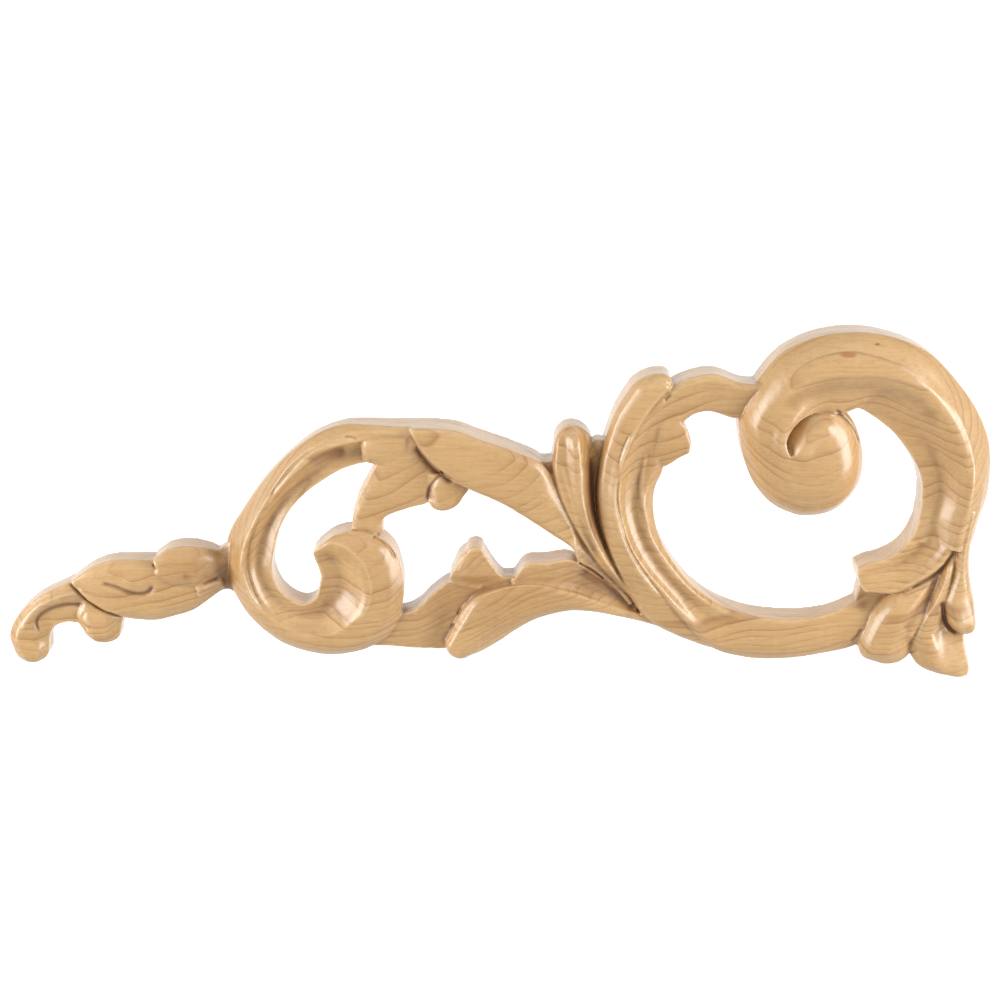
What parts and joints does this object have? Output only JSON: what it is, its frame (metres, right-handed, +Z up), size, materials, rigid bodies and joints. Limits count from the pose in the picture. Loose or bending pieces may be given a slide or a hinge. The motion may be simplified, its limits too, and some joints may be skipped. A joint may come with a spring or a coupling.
{
  "type": "furniture onlay",
  "caption": "Pierced, carved maple onlay of C-scrolls and leaves with a curled tail, flat behind, to be glued to a drawer front or frieze.",
  "frame": {"origin": "on the flat back, behind the long middle leaf, half way along the ornament", "axes": "+X along the ornament from the tail to the great scroll, -Y out of the carved face, +Z up as it is fixed"},
  "size_m": [0.36, 0.021, 0.1318],
  "materials": {
    "maple": "satin"
  },
  "bodies": {
    "root": {"carved_onlay": "maple"}
  },
  "joints": []
}
